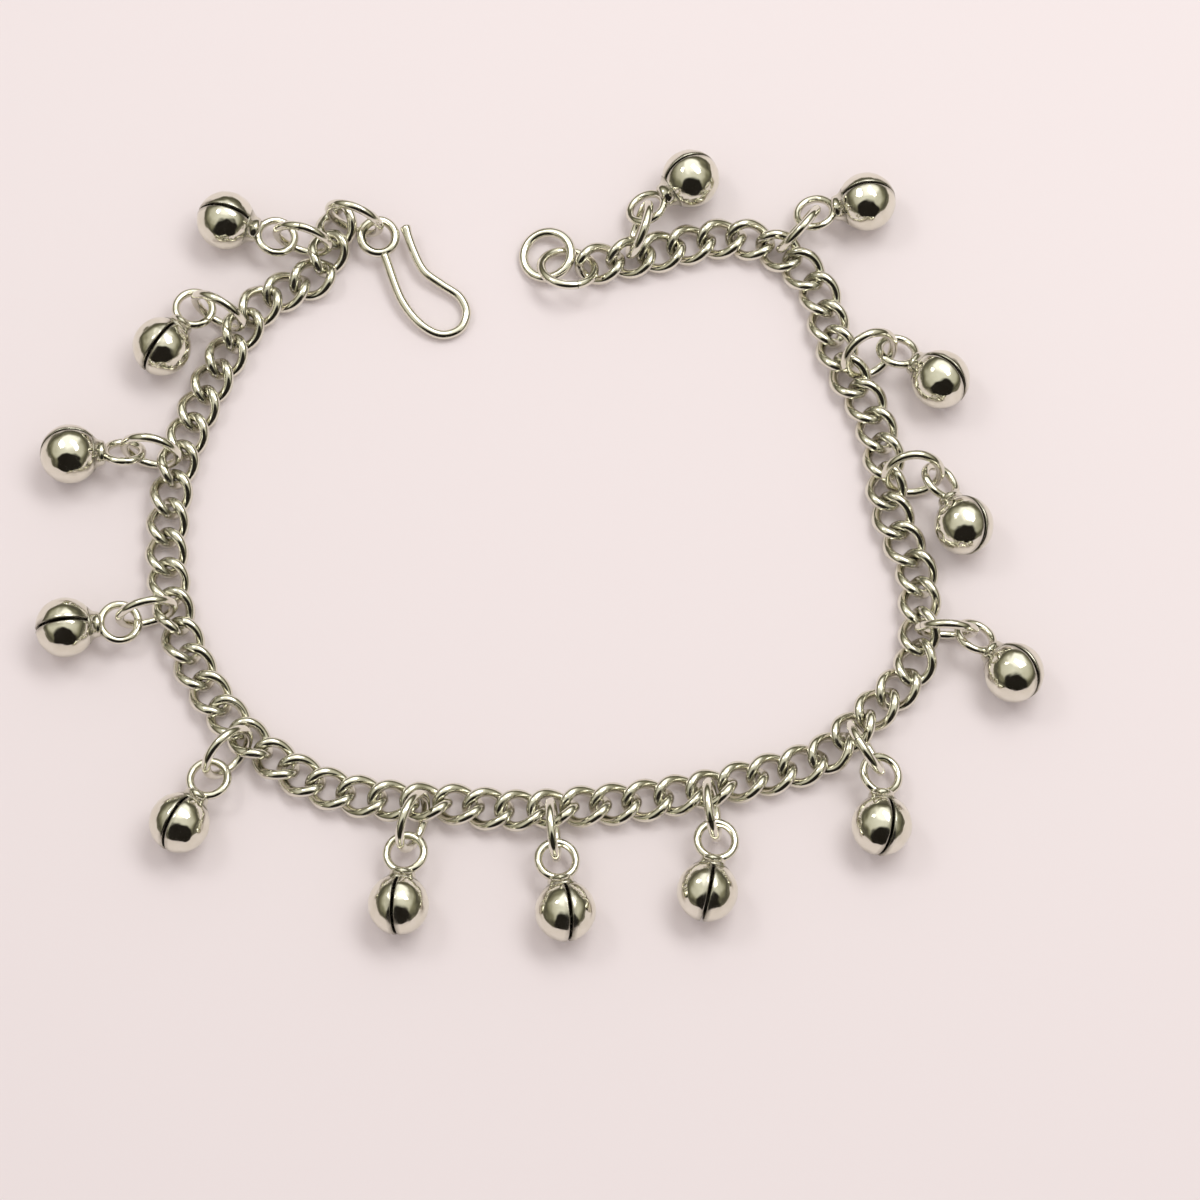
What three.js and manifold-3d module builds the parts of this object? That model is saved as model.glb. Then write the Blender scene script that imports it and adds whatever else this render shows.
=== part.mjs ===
/**
 * Charm anklet in polished silver, lying open and flat.
 *
 * A curb chain of round wire links carries small round jingle bells, each on a jump ring of its own.
 * One end has a wire hook and the other a plain soldered ring, each held by a jump ring, so that
 * the hook closes into the ring round the ankle.
 *
 * Millimetres, +Z up. The surface that the anklet lies on is z = 0. The chain runs from the hook's
 * end, anticlockwise as seen from above, to the end ring, and its bells lie outside the loop.
 */
import * as THREE from "three";
import { mergeVertices } from "three/addons/utils/BufferGeometryUtils.js";
import Module from "manifold-3d";

const wasm = await Module();
wasm.setup();

// Driving dimensions, in mm. Radii of rings and links are to the middle of their wire.
const LINK = { pitch: 3.77, halfLength: 2.58, halfWidth: 2.07, wire: 1.12 };
const LINK_TWIST = THREE.MathUtils.degToRad(45); // from a link's middle to each of its ends
const RUN_SLACK = 0.3; // how much closer two links of neighbouring runs lie, so that they hang loose
const WELD = 0.6; // side of the square bead that joins two links of one run
const CHARM_LINK_ROLL = THREE.MathUtils.degToRad(20); // a charm's ring props up its link's outer side
const FIRST_LINK_ROLL = THREE.MathUtils.degToRad(-12); // the hook's ring props up the inner side

const JUMP_RING = { radius: 3.3, wire: 1.1 };
const END_RING = { radius: 3.0, wire: 1.2 };
const BELL = { radius: 3.6, wall: 0.35, slit: 0.4, slitFromNeck: 3.0 };
const BELL_LOOP = { radius: 2.25, wire: 1.0, reach: 6.5 }; // reach: middle of the ball to middle of the loop
const BELL_NECK = { ballRadius: 1.5, loopRadius: 0.8, length: 1.2 };
const HOOK = { wire: 1.15, eyeRadius: 2.1, tipRadius: 0.75, slope: 0.11 };

// How a charm hangs: the gap kept between linked wires, where its ring goes down through the link, and
// how high the ring passes through the bell's loop.
const LINKED_GAP = 0.3;
const RING_THROUGH = { outward: 0.6, above: -0.1 };
const RING_IN_LOOP_HEIGHT = 2.6;

const WIRE_SIDES = 5;
const FACET_CORNERS = 1.05; // the wire's facets have their corners this much outside the round wire
const FINISH = { color: 0xd9d7cc, metalness: 1, roughness: 0.12 };

// The chain's way along its middle, seen from above: the turn at the hook, the plain bow on the
// left, the front, the right side with its two waves, and the back as far as the end ring.
const CHAIN_ROUTE = [
  [-32, 44],
  [-33.4, 38.8],
  [-34.8, 35.6],
  [-37.4, 34.2],
  [-41.4, 31.9],
  [-44.3, 27.6],
  [-49, 18],
  [-51.8, 8],
  [-52, -3],
  [-49, -13.5],
  [-42.5, -22.8],
  [-33.5, -29],
  [-25, -31],
  [-18, -31.4],
  [-10.5, -32.2],
  [-3, -31.8],
  [5, -31],
  [12.5, -29.7],
  [20, -27.8],
  [26.5, -25.6],
  [30.5, -22],
  [34, -18.6],
  [37.4, -14.8],
  [38.3, -8],
  [38, -2.3],
  [36.2, 2],
  [34.8, 6.5],
  [34.4, 12],
  [32.8, 18],
  [30, 23],
  [28.3, 28],
  [26.8, 33.5],
  [23, 38],
  [17, 40.5],
  [11.5, 39.8],
  [6, 38.3],
  [-1.9, 36.8],
];

// One row for each charm. link: which link carries it, counted from 0 at the hook. ring and bell: the
// headings of its jump ring and of its bell, from +X. lean: of the ring from upright. roll: of the bell
// about its own axis. slack: how far the bell has slid back from hanging taut, in mm. Angles in degrees.
const CHARMS = [
  { link: 1, ring: 165, bell: 164, lean: -5, roll: 10, slack: 0.5 },
  { link: 5, ring: 152, bell: 235, lean: -5, roll: 0, slack: 0.2 },
  { link: 10, ring: 170, bell: 185, lean: -10, roll: 40, slack: 0.5 },
  { link: 15, ring: 195, bell: 188, lean: -5, roll: 0, slack: 0.5 },
  { link: 20, ring: 226, bell: 240, lean: -15, roll: 10, slack: 0.3 },
  { link: 26, ring: -111, bell: -96, lean: -15, roll: 10, slack: 0.3 },
  { link: 30, ring: -85, bell: -81, lean: -5, roll: -10, slack: 0.6 },
  { link: 35, ring: -84, bell: -100, lean: -10, roll: -5, slack: 0.5 },
  { link: 40, ring: -60, bell: -91, lean: -15, roll: -20, slack: 0.5 },
  { link: 44, ring: -3, bell: -47, lean: -5, roll: -35, slack: 0.2 },
  { link: 49, ring: 4, bell: -66, lean: 25, roll: -40, slack: 0.4 },
  { link: 53, ring: 28, bell: -38, lean: 25, roll: -25, slack: 0.2 },
  { link: 58, ring: 50, bell: 10, lean: -15, roll: -20, slack: 0.5 },
  { link: 63, ring: 75, bell: 33, lean: -15, roll: -30, slack: 0.4 },
];

// Fastenings at the chain's two ends. Headings are of a ring's own plane, in degrees from +X.
const HOOK_JUMP_RING = { link: 0, along: -0.7, outward: 0.2, ring: -20, lean: 4 };
const HOOK_EYE = [-27.3, 40.4];
const HOOK_ROUTE = [
  [-26.6, 38.3],
  [-24.1, 31.9],
  [-21.4, 28.9],
  [-19.2, 28.1],
  [-17.2, 28.9],
  [-16.4, 30.9],
  [-17.2, 32.9],
  [-19.5, 34.5],
  [-21.6, 36.1],
  [-23, 38.8],
  [-24.1, 42],
];
const HOOK_BEND = [-17.6, 28.3]; // where the bend touches the surface
const END_JUMP_RING = { link: 64, along: 0.8, outward: -0.1, ring: 169, lean: 60 };
const END_RING_AT = { at: [-6.5, 38.4], tilt: 12 };

const UP = new THREE.Vector3(0, 0, 1);
const degrees = THREE.MathUtils.degToRad;

/** A closed geometry as a solid that can be joined and cut. */
function solidOf(geometry, matrix = new THREE.Matrix4()) {
  const bare = geometry.clone().applyMatrix4(matrix);
  bare.deleteAttribute("normal");
  bare.deleteAttribute("uv");
  const merged = mergeVertices(bare, 1e-4);
  const vertProperties = new Float32Array(merged.attributes.position.array);
  const triVerts = new Uint32Array(merged.index.array);
  return new wasm.Manifold(new wasm.Mesh({ numProp: 3, vertProperties, triVerts }));
}

/** The surface of a solid as a geometry. */
function geometryOf(solid) {
  const mesh = solid.getMesh();
  const geometry = new THREE.BufferGeometry();
  geometry.setAttribute("position", new THREE.BufferAttribute(mesh.vertProperties, 3));
  geometry.setIndex(new THREE.BufferAttribute(mesh.triVerts, 1));
  geometry.computeVertexNormals();
  return geometry;
}

/** A named mesh in the anklet's finish. */
function silver(name, geometry) {
  const mesh = new THREE.Mesh(geometry, new THREE.MeshStandardMaterial(FINISH));
  mesh.name = name;
  return mesh;
}

/** Puts a mesh's own X and Y axes along two given directions at right angles, with its origin at a point. */
function place(mesh, origin, xAxis, yAxis) {
  const zAxis = new THREE.Vector3().crossVectors(xAxis, yAxis);
  mesh.quaternion.setFromRotationMatrix(new THREE.Matrix4().makeBasis(xAxis, yAxis, zAxis));
  mesh.position.copy(origin);
  return mesh;
}

/** A level direction at an angle from +X, in degrees. */
function levelDirection(angle) {
  return new THREE.Vector3(Math.cos(degrees(angle)), Math.sin(degrees(angle)), 0);
}

/** A ring of round wire in its own XY plane. */
function ringGeometry({ radius, wire }, steps = 12) {
  return new THREE.TorusGeometry(radius, (FACET_CORNERS * wire) / 2, WIRE_SIDES, steps);
}

/** The middle line of a curb link: an oval whose cross-section turns steadily from end to end. */
class CurbLink extends THREE.Curve {
  constructor(roll) {
    super();
    this.roll = roll;
  }
  getPoint(t, target = new THREE.Vector3()) {
    const along = Math.cos(2 * Math.PI * t);
    const across = LINK.halfWidth * Math.sin(2 * Math.PI * t);
    const turned = -LINK_TWIST * along - this.roll;
    return target.set(LINK.halfLength * along, across * Math.cos(turned), across * Math.sin(turned));
  }
}

// ---- Chain ----

const route = new THREE.CatmullRomCurve3(
  CHAIN_ROUTE.map(([x, y]) => new THREE.Vector3(x, y, 0)),
  false,
  "centripetal",
);
route.arcLengthDivisions = 2000;
const linkCount = Math.round(route.getLength() / LINK.pitch);

// Each run of links carries one charm, and the next run starts two links after it.
const runStarts = [0, ...CHARMS.slice(0, -1).map((charm) => charm.link + 2)];

/** How far link number i is rolled: fully at a charm, half as much beside it. */
function rollOf(i) {
  if (i === 0) return FIRST_LINK_ROLL;
  const distance = Math.min(...CHARMS.map((charm) => Math.abs(charm.link - i)));
  return CHARM_LINK_ROLL * Math.max(0, 1 - distance / 2);
}

/** Link number i's place along the route, from 0 to 1: even but for the slack between runs. */
function alongRoute(i) {
  const length = linkCount * LINK.pitch;
  const tight = (length + RUN_SLACK * (runStarts.length - 1)) / linkCount;
  const runsBefore = runStarts.filter((start) => start <= i).length - 1;
  return ((i + 0.5) * tight - RUN_SLACK * runsBefore) / length;
}

/** Where link number i lies: its middle, its way along the chain, and its lowest point at z = 0. */
function linkPlace(i) {
  const at = alongRoute(i);
  const along = route.getTangentAt(at);
  const outward = new THREE.Vector3(along.y, -along.x, 0);
  const middleLine = new CurbLink(rollOf(i)).getSpacedPoints(40);
  const lowest = Math.min(...middleLine.map((point) => point.z));
  const middle = route.getPointAt(at).setZ(LINK.wire / 2 - lowest);
  return { middle, along, outward };
}

function linkSolid(i) {
  const { middle, along, outward } = linkPlace(i);
  const radius = (FACET_CORNERS * LINK.wire) / 2;
  const tube = new THREE.TubeGeometry(new CurbLink(rollOf(i)), 10, radius, WIRE_SIDES, true);
  const turn = new THREE.Matrix4().makeBasis(along, outward.clone().negate(), UP).setPosition(middle);
  return solidOf(tube, turn);
}

/** The small bead between link i's end and the next link's end, which hooks into it. */
function weldSolid(i) {
  const [here, next] = [linkPlace(i), linkPlace(i + 1)];
  const from = next.middle.clone().addScaledVector(next.along, -LINK.halfLength);
  const to = here.middle.clone().addScaledVector(here.along, LINK.halfLength);
  const along = to.clone().sub(from).normalize();
  const side = new THREE.Vector3().crossVectors(UP, along).normalize();
  const top = new THREE.Vector3().crossVectors(along, side);
  const turn = new THREE.Matrix4().makeBasis(along, side, top).setPosition(from.clone().lerp(to, 0.5));
  return solidOf(new THREE.BoxGeometry(from.distanceTo(to), WELD, WELD), turn);
}

/** The outer surface of joined pieces, without any pocket closed in between them. */
function withoutPockets(solid) {
  return solid.decompose().reduce((kept, body) => (body.volume() > kept.volume() ? body : kept));
}

function chainRun(number, first, last) {
  const pieces = [];
  for (let i = first; i <= last; i += 1) {
    pieces.push(linkSolid(i));
    if (i < last) pieces.push(weldSolid(i));
  }
  const name = "chain_run_" + String(number).padStart(2, "0");
  return silver(name, geometryOf(withoutPockets(wasm.Manifold.union(pieces))));
}

// ---- Bells and their rings ----

/** A bell with its ball's middle at the origin, its loop towards -X in the XY plane, and its slit in XZ. */
function bellGeometry() {
  const toAxis = new THREE.Matrix4().makeRotationZ(-Math.PI / 2);
  const outer = solidOf(new THREE.SphereGeometry(BELL.radius, 10, 6), toAxis);
  const inner = solidOf(new THREE.SphereGeometry(BELL.radius - BELL.wall, 10, 6), toAxis);
  const slitLength = BELL.slitFromNeck + BELL.radius + 1;
  const slitMiddle = new THREE.Matrix4().setPosition(slitLength / 2 - BELL.slitFromNeck, 0, 0);
  const slit = solidOf(new THREE.BoxGeometry(slitLength, BELL.slit, 3 * BELL.radius), slitMiddle);
  const neckMiddle = toAxis.clone().setPosition(BELL.wall / 2 - BELL.radius - BELL_NECK.length / 2, 0, 0);
  const neck = solidOf(
    new THREE.CylinderGeometry(BELL_NECK.ballRadius, BELL_NECK.loopRadius, BELL_NECK.length, 8),
    neckMiddle,
  );
  const loopMiddle = new THREE.Matrix4().setPosition(-BELL_LOOP.reach, 0, 0);
  const loop = solidOf(ringGeometry(BELL_LOOP, 10), loopMiddle);
  return geometryOf(outer.subtract(inner).subtract(slit).add(neck).add(loop));
}

/** The way up the slope of a ring that leans from upright about its level heading. */
function leaningSlope(heading, lean) {
  const side = new THREE.Vector3().crossVectors(UP, heading);
  return UP.clone().multiplyScalar(Math.cos(degrees(lean))).addScaledVector(side, Math.sin(degrees(lean)));
}

/** A jump ring that stands on the surface and goes down through its link's opening. */
function ringThroughLink({ link, ring, lean, along = 0, outward = RING_THROUGH.outward }) {
  const place = linkPlace(link);
  const heading = levelDirection(ring);
  const slope = leaningSlope(heading, lean);
  const height = JUMP_RING.radius * Math.cos(degrees(lean)) + JUMP_RING.wire / 2;
  const through = place.middle.clone();
  through.addScaledVector(place.along, along).addScaledVector(place.outward, outward);
  through.z += RING_THROUGH.above;
  const down = (height - through.z) / Math.cos(degrees(lean));
  const back = Math.sqrt(JUMP_RING.radius ** 2 - down ** 2);
  const centre = through.addScaledVector(heading, back).addScaledVector(slope, down);
  return { centre, heading, slope };
}

function jumpRing(name, { centre, heading, slope }) {
  return place(silver(name, ringGeometry(JUMP_RING)), centre, heading, slope);
}

/** Where a charm's bell lies: on its ball, with the far side of its ring passing through its loop. */
function charmBell(row, ring) {
  const down = (ring.centre.z - RING_IN_LOOP_HEIGHT) / Math.cos(degrees(row.lean));
  const forward = Math.sqrt(JUMP_RING.radius ** 2 - down ** 2);
  const held = ring.centre.clone().addScaledVector(ring.heading, forward).addScaledVector(ring.slope, -down);
  const clear = JUMP_RING.wire / 2 + BELL_LOOP.wire / 2 + LINKED_GAP + row.slack;
  const toBall = BELL_LOOP.reach + BELL_LOOP.radius - clear;
  const pitch = Math.asin((BELL.radius - RING_IN_LOOP_HEIGHT) / toBall);
  const axis = levelDirection(row.bell).multiplyScalar(Math.cos(pitch)).setZ(Math.sin(pitch));
  const across = new THREE.Vector3().crossVectors(UP, axis).normalize();
  across.applyAxisAngle(axis, degrees(row.roll));
  return { centre: held.addScaledVector(axis, toBall), axis, across };
}

function charm(row, number, bell) {
  const label = String(number).padStart(2, "0");
  const ring = ringThroughLink(row);
  const ball = charmBell(row, ring);
  const bellMesh = place(silver("bell_" + label, bell), ball.centre, ball.axis, ball.across);
  return [jumpRing("charm_jump_ring_" + label, ring), bellMesh];
}

// ---- Clasp ----

/** Height of the hook's middle line at a point: its plane rises from the bend to the eye and the tip. */
function hookHeight([x, y]) {
  const uphill = new THREE.Vector2(HOOK_EYE[0] - HOOK_BEND[0], HOOK_EYE[1] - HOOK_BEND[1]).normalize();
  const climbed = uphill.dot(new THREE.Vector2(x - HOOK_BEND[0], y - HOOK_BEND[1]));
  return HOOK.wire / 2 + HOOK.slope * climbed;
}

function hook() {
  const points = HOOK_ROUTE.map((point) => new THREE.Vector3(point[0], point[1], hookHeight(point)));
  const path = new THREE.CatmullRomCurve3(points, false, "centripetal");
  const radius = (FACET_CORNERS * HOOK.wire) / 2;
  const section = new THREE.Shape();
  for (let i = 0; i < 6; i += 1) {
    const angle = (2 * Math.PI * (i + 0.5)) / 6;
    const [x, y] = [radius * Math.cos(angle), radius * Math.sin(angle)];
    if (i === 0) section.moveTo(x, y);
    else section.lineTo(x, y);
  }
  section.closePath();
  const shank = new THREE.ExtrudeGeometry(section, { steps: 30, extrudePath: path });
  const uphill = new THREE.Vector3(HOOK_EYE[0] - HOOK_BEND[0], HOOK_EYE[1] - HOOK_BEND[1], 0).normalize();
  const across = new THREE.Vector3().crossVectors(UP, uphill);
  const slope = uphill.clone().addScaledVector(UP, HOOK.slope).normalize();
  const normal = new THREE.Vector3().crossVectors(slope, across);
  const eyeMiddle = new THREE.Vector3(HOOK_EYE[0], HOOK_EYE[1], hookHeight(HOOK_EYE));
  const eyeTurn = new THREE.Matrix4().makeBasis(slope, across, normal).setPosition(eyeMiddle);
  const eye = ringGeometry({ radius: HOOK.eyeRadius, wire: HOOK.wire }, 12);
  const tip = new THREE.SphereGeometry(HOOK.tipRadius, 8, 6);
  const tipTurn = new THREE.Matrix4().setPosition(points.at(-1));
  return silver("hook", geometryOf(solidOf(shank).add(solidOf(eye, eyeTurn)).add(solidOf(tip, tipTurn))));
}

/** The soldered ring that the hook closes into: one side rests on the surface, the other on its jump ring. */
function endRing() {
  const tilt = degrees(END_RING_AT.tilt);
  const rising = new THREE.Vector3(Math.cos(tilt), 0, Math.sin(tilt));
  const height = END_RING.radius * Math.sin(tilt) + END_RING.wire / 2;
  const middle = new THREE.Vector3(...END_RING_AT.at, height);
  return place(silver("end_ring", ringGeometry(END_RING, 18)), middle, rising, new THREE.Vector3(0, 1, 0));
}

const anklet = new THREE.Group();
anklet.add(hook(), jumpRing("hook_jump_ring", ringThroughLink(HOOK_JUMP_RING)));
runStarts.forEach((first, run) => {
  const last = (runStarts[run + 1] ?? linkCount) - 1;
  anklet.add(chainRun(run + 1, first, last));
});
const bell = bellGeometry();
CHARMS.forEach((row, index) => anklet.add(...charm(row, index + 1, bell)));
anklet.add(jumpRing("end_jump_ring", ringThroughLink(END_JUMP_RING)), endRing());

// The origin is in the middle of the anklet's outline, on the surface that it lies on.
const outline = new THREE.Box3().setFromObject(anklet, true);
const outlineMiddle = outline.getCenter(new THREE.Vector3());
anklet.position.set(-outlineMiddle.x, -outlineMiddle.y, -outline.min.z);

export default anklet;
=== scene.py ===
"""Charm anklet in bright polished silver, lying open on a pale surface.

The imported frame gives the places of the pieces. Each chain run, ring, bell and fastening is built here
as a smooth piece, and stands for the CAD node of the same name. Sizes are in millimetres in the classes
and in metres in the meshes.
"""

from __future__ import annotations

import logging
import math
from collections.abc import Iterable, Mapping, Sequence
from dataclasses import dataclass, field
from enum import Enum
from typing import Any

import bmesh
import bpy
import numpy as np
from mathutils import Matrix, Vector, noise


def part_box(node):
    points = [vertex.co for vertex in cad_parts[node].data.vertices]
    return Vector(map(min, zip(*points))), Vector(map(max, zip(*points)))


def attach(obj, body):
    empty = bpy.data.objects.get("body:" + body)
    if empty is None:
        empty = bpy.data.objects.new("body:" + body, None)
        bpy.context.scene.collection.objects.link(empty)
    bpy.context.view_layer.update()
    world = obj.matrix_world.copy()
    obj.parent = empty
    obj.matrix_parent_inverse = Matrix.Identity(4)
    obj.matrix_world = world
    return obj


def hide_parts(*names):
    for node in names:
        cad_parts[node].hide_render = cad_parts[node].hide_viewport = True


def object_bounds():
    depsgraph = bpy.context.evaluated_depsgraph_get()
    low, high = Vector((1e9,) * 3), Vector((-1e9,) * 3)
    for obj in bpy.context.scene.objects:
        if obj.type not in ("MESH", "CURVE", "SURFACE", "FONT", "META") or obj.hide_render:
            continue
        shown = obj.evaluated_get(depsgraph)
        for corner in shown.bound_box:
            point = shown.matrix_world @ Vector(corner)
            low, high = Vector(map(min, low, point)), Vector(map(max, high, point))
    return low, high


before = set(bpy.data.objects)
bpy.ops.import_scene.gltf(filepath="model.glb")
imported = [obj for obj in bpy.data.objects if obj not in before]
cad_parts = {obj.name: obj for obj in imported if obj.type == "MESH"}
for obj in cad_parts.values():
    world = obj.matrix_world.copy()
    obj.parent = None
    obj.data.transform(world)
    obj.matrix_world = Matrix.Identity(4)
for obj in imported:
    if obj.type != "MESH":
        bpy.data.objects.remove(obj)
CAD_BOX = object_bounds()

LOG = logging.getLogger("charm_anklet")
MM = 0.001
UP = Vector((0.0, 0.0, 1.0))
SHADE_AND_TARNISH = "shade_and_tarnish"  # per vertex: 0 where polishing reaches, 1 for painted shade in the recesses, with some tarnishing
TURN = "turn"  # per point of a run: how its link is turned
# A colour mix keeps one set of sockets for each kind of value, and the colours come third.
MIX_FACTOR, MIX_FIRST, MIX_SECOND, MIX_RESULT = 0, 6, 7, 2
FACET_LIFT = 0.03  # the CAD wires rest on the corners of their facets, this far below the round wire


# ---- Small tools ----


def linear(hex_colour: str) -> tuple[float, float, float, float]:
    """A colour given as sRGB hex, in linear light.

    Args:
        hex_colour: Six hex digits.

    Returns:
        Red, green, blue and full alpha.
    """
    parts = [int(hex_colour[i : i + 2], 16) / 255 for i in (0, 2, 4)]
    red, green, blue = (c / 12.92 if c <= 0.04045 else ((c + 0.055) / 1.055) ** 2.4 for c in parts)
    return red, green, blue, 1.0


def add_node(
    tree: bpy.types.NodeTree,
    kind: str,
    inputs: Mapping[str | int, Any] | None = None,
    **settings: Any,
) -> bpy.types.Node:
    """Adds one node with its settings and links.

    Args:
        tree: The tree that the node goes in.
        kind: The node's type.
        inputs: For each input, by name or place, a value or the socket that feeds it.
        **settings: The node's own options.

    Returns:
        The new node.
    """
    node = tree.nodes.new(kind)
    for name, value in settings.items():
        setattr(node, name, value)
    for key, value in (inputs or {}).items():
        socket = node.inputs[key]
        if isinstance(value, bpy.types.NodeSocket):
            tree.links.new(value, socket)
        else:
            socket.default_value = value
    return node


def level_way(angle: float) -> Vector:
    """A level direction at an angle from +X, in degrees."""
    return Vector((math.cos(math.radians(angle)), math.sin(math.radians(angle)), 0.0))


def spline_points(controls: np.ndarray, at: np.ndarray) -> np.ndarray:
    """Points on the smooth line through control points, spaced by the root of their distances.

    Args:
        controls: One row for each control point.
        at: Places from 0 at the first control point to 1 at the last.

    Returns:
        One row for each place.
    """
    ends = (2 * controls[0] - controls[1], 2 * controls[-1] - controls[-2])
    padded = np.vstack([ends[0], controls, ends[1]])
    scaled = np.clip(at, 0, 1) * (len(controls) - 1)
    index = np.minimum(scaled.astype(int), len(controls) - 2)
    t = (scaled - index)[:, None]
    before, start, stop, after = (padded[index + k] for k in range(4))
    gaps = [
        np.maximum(np.sum((b - a) ** 2, axis=1) ** 0.25, 1e-4)[:, None]
        for a, b in ((before, start), (start, stop), (stop, after))
    ]
    first, middle, last = gaps
    leave = (start - before) / first - (stop - before) / (first + middle) + (stop - start) / middle
    arrive = (stop - start) / middle - (after - start) / (middle + last) + (after - stop) / last
    leave, arrive = leave * middle, arrive * middle
    square = -3 * start + 3 * stop - 2 * leave - arrive
    cube = 2 * start - 2 * stop + leave + arrive
    return start + leave * t + square * t**2 + cube * t**3


@dataclass(frozen=True)
class Place:
    """Where a piece lies: its own origin, in mm, and which way its X and Y axes point."""

    origin: Vector
    x_way: Vector
    y_way: Vector

    def matrix(self) -> Matrix:
        """The turn and move into the frame, in metres."""
        turn = Matrix((self.x_way, self.y_way, self.x_way.cross(self.y_way))).transposed()
        return Matrix.Translation(self.origin * MM) @ turn.to_4x4()


def finished_piece(name: str, mesh: bpy.types.Mesh, finish: bpy.types.Material) -> bpy.types.Object:
    """A piece at the frame's origin that stands for the CAD node of the same name.

    Args:
        name: The node's name.
        mesh: Its mesh, already in its place.
        finish: Its material.

    Returns:
        The new object.
    """
    mesh.name = name
    mesh.materials.clear()
    mesh.materials.append(finish)
    mesh.shade_smooth()
    piece = bpy.data.objects.new(f"{name}_silver", mesh)
    bpy.context.scene.collection.objects.link(piece)
    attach(piece, "root")
    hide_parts(name)
    LOG.info("%s: %d faces", piece.name, len(mesh.polygons))
    return piece


def joined(meshes: Iterable[bpy.types.Mesh]) -> bpy.types.Mesh:
    """Joins meshes, and removes them.

    Args:
        meshes: The meshes to join.

    Returns:
        One mesh that holds them all.
    """
    built = bmesh.new()
    for mesh in meshes:
        built.from_mesh(mesh)
        bpy.data.meshes.remove(mesh)
    whole = bpy.data.meshes.new("joined")
    built.to_mesh(whole)
    built.free()
    return whole


# ---- Finishes ----


@dataclass(frozen=True)
class PolishedSilver:
    """Bright silver, buffed by hand after soldering.

    The metal mirrors its surroundings with a faint ivory cast. Buffing leaves fine scratches about
    0.1 mm apart, which blur the reflections a little. Where the buff doesn't reach, a grey-brown colour
    is painted in: painted shade in the recesses, with some tarnishing.
    """

    name: str
    bright: str = "F3F1E6"
    dull: str = "D9D5C2"
    # The dark colour is painted shade for the recesses, mixed with tarnishing.
    shade_and_tarnish_colour: str = "57503F"
    roughness: float = 0.07
    roughness_spread: float = 0.1
    cloud_mm: float = 1.7
    shade_and_tarnish_gain: float = 1.5
    shade_and_tarnish_roughness: float = 0.3
    scratch_mm: float = 0.12
    scratch_depth_mm: float = 0.0012
    dent_mm: float = 2.6
    dent_depth_mm: float = 0.05

    def material(self) -> bpy.types.Material:
        """Builds the material.

        Returns:
            The new material.
        """
        made = bpy.data.materials.new(self.name)
        made.use_nodes = True
        tree = made.node_tree
        tree.nodes.clear()
        where = add_node(tree, "ShaderNodeTexCoord").outputs["Object"]
        clouds = add_node(
            tree,
            "ShaderNodeTexNoise",
            {"Vector": where, "Scale": 1 / (self.cloud_mm * MM), "Detail": 3.0, "Roughness": 0.6},
        ).outputs["Fac"]
        shade_and_tarnish = add_node(tree, "ShaderNodeAttribute", attribute_name=SHADE_AND_TARNISH).outputs["Fac"]
        metal = add_node(
            tree,
            "ShaderNodeMix",
            {MIX_FACTOR: clouds, MIX_FIRST: linear(self.bright), MIX_SECOND: linear(self.dull)},
            data_type="RGBA",
        ).outputs[MIX_RESULT]
        # Recesses are painted darker, as shade with some tarnishing, patchy where the clouds are high.
        patchy_shade_and_tarnish = add_node(
            tree, "ShaderNodeMath", {0: shade_and_tarnish, 1: clouds}, operation="MULTIPLY"
        ).outputs[0]
        shade_and_tarnish_mask = add_node(
            tree, "ShaderNodeMath", {0: patchy_shade_and_tarnish, 1: self.shade_and_tarnish_gain}, operation="MULTIPLY", use_clamp=True
        ).outputs[0]
        colour = add_node(
            tree,
            "ShaderNodeMix",
            {MIX_FACTOR: shade_and_tarnish_mask, MIX_FIRST: metal, MIX_SECOND: linear(self.shade_and_tarnish_colour)},
            data_type="RGBA",
        ).outputs[MIX_RESULT]
        scratches = add_node(
            tree,
            "ShaderNodeTexNoise",
            {"Vector": where, "Scale": 1 / (self.scratch_mm * MM), "Detail": 2.0},
        ).outputs["Fac"]
        rough = add_node(
            tree,
            "ShaderNodeMapRange",
            {
                "Value": clouds,
                "From Min": 0.3,
                "From Max": 0.75,
                "To Min": self.roughness,
                "To Max": self.roughness + self.roughness_spread,
            },
        ).outputs["Result"]
        rougher = add_node(
            tree,
            "ShaderNodeMath",
            {0: shade_and_tarnish_mask, 1: self.shade_and_tarnish_roughness, 2: rough},
            operation="MULTIPLY_ADD",
        ).outputs[0]
        dents = add_node(
            tree,
            "ShaderNodeTexNoise",
            {"Vector": where, "Scale": 1 / (self.dent_mm * MM), "Detail": 1.0},
        ).outputs["Fac"]
        dented = add_node(
            tree,
            "ShaderNodeBump",
            {"Height": dents, "Distance": self.dent_depth_mm * MM, "Strength": 1.0},
        ).outputs["Normal"]
        scratched = add_node(
            tree,
            "ShaderNodeBump",
            {
                "Height": scratches,
                "Distance": self.scratch_depth_mm * MM,
                "Strength": 1.0,
                "Normal": dented,
            },
        ).outputs["Normal"]
        shader = add_node(
            tree,
            "ShaderNodeBsdfPrincipled",
            {
                "Base Color": colour,
                "Metallic": 1.0,
                "Roughness": rougher,
                "Normal": scratched,
            },
        ).outputs["BSDF"]
        add_node(tree, "ShaderNodeOutputMaterial", {"Surface": shader})
        return made


# ---- Wire ----


class Joint(Enum):
    """How a wire ring is closed."""

    SOLDERED = "soldered"
    BUTTED = "butted"


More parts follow.
